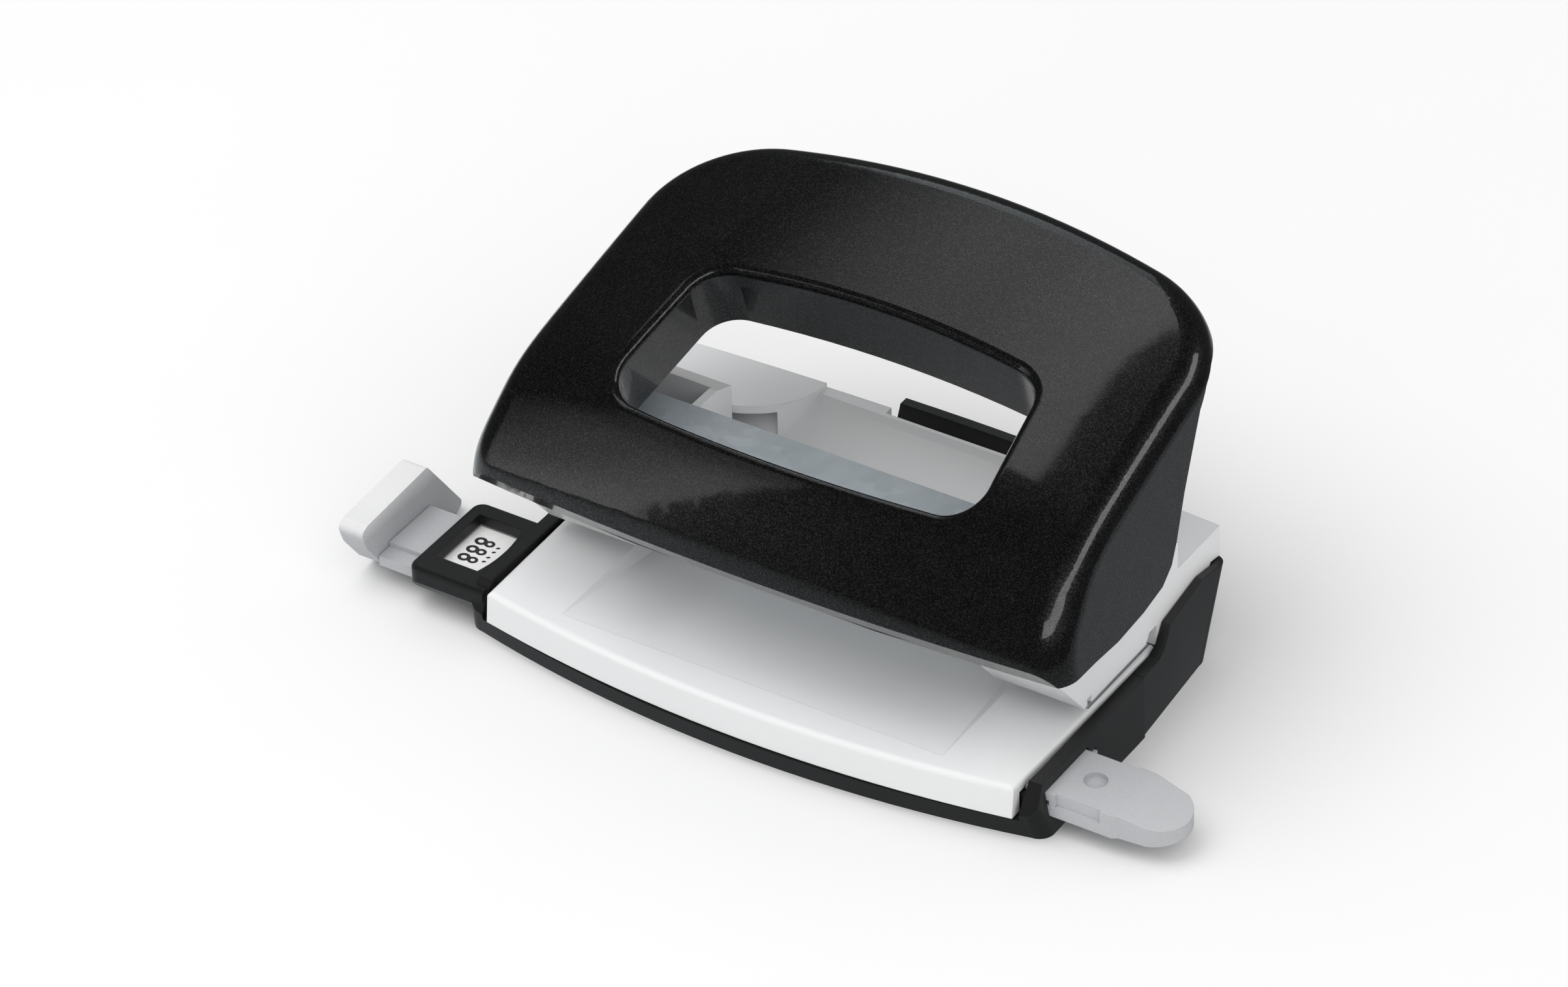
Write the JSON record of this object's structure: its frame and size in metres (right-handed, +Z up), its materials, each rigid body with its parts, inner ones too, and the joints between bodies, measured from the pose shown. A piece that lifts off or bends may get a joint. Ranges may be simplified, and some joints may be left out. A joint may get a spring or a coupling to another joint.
{
  "type": "hole punch",
  "caption": "Desk hole punch with a sheet-metal lever handle and finger window, white paper tray, black base with a swing-open chip tray and a sliding paper guide with a format window.",
  "frame": {"origin": "on the table, in the plane of symmetry of the body, in line with the front corners of the paper tray", "axes": "+X to the right along the guide bar, towards its tongue; +Y from the user to the back; +Z up"},
  "size_m": [0.1425, 0.0752, 0.0594],
  "materials": {
    "handle_black": "metallic flake under clear coat",
    "zinc_steel": "zinc plated",
    "steel": "ground",
    "spring_steel": "bright",
    "brass": "turned",
    "white_plastic": "gloss",
    "black_plastic": "satin",
    "grey_plastic": "fine grain",
    "label_white": "printed"
  },
  "bodies": {
    "body": {"base_front": "black_plastic", "paper_tray": "white_plastic", "body_frame": "white_plastic", "punch_bracket_left": "zinc_steel", "punch_bracket_right": "zinc_steel", "guide_sleeve_left": "brass", "guide_sleeve_right": "brass", "pivot_pin_left": "steel", "pivot_pin_right": "steel", "return_spring_left": "spring_steel", "return_spring_right": "spring_steel", "base_screws": "steel", "frame_screws": "steel", "detent_leaf": "spring_steel"},
    "handle": {"handle_shell": "handle_black", "press_plate": "zinc_steel"},
    "punch_left": {"punch_pin_left": "steel"},
    "punch_right": {"punch_pin_right": "steel"},
    "guide": {"guide_bar": "grey_plastic", "guide_tongue": "grey_plastic", "guide_stop": "grey_plastic", "ruler_label": "label_white"},
    "chip_drawer": {"chip_tray": "black_plastic"}
  },
  "joints": [
    {"name": "handle_press", "type": "hinge", "parent": "body", "child": "handle", "pos_m": [0, 0.011, 0.031], "axis": [-1, 0, 0], "range_deg": [0, 14], "stiffness_Nm_per_rad": 1.3, "springref_deg": -8.59},
    {"name": "punch_left_stroke", "type": "slide", "parent": "body", "child": "punch_left", "axis": [0, 0, -1], "range_m": [0, 0.0045], "deforming": ["return_spring_left"]},
    {"name": "punch_right_stroke", "type": "slide", "parent": "body", "child": "punch_right", "axis": [0, 0, -1], "range_m": [0, 0.0045], "deforming": ["return_spring_right"]},
    {"name": "guide_slide", "type": "slide", "parent": "body", "child": "guide", "axis": [-1, 0, 0], "range_m": [-0.006, 0.08]},
    {"name": "chip_tray_open", "type": "hinge", "parent": "body", "child": "chip_drawer", "pos_m": [0, 0.022, 0.0026], "axis": [-1, 0, 0], "range_deg": [0, 70]}
  ],
  "couplings": [
    {"joint": "punch_left_stroke", "follows": "handle_press", "m_per_rad": 0.018},
    {"joint": "punch_right_stroke", "follows": "handle_press", "m_per_rad": 0.018}
  ]
}
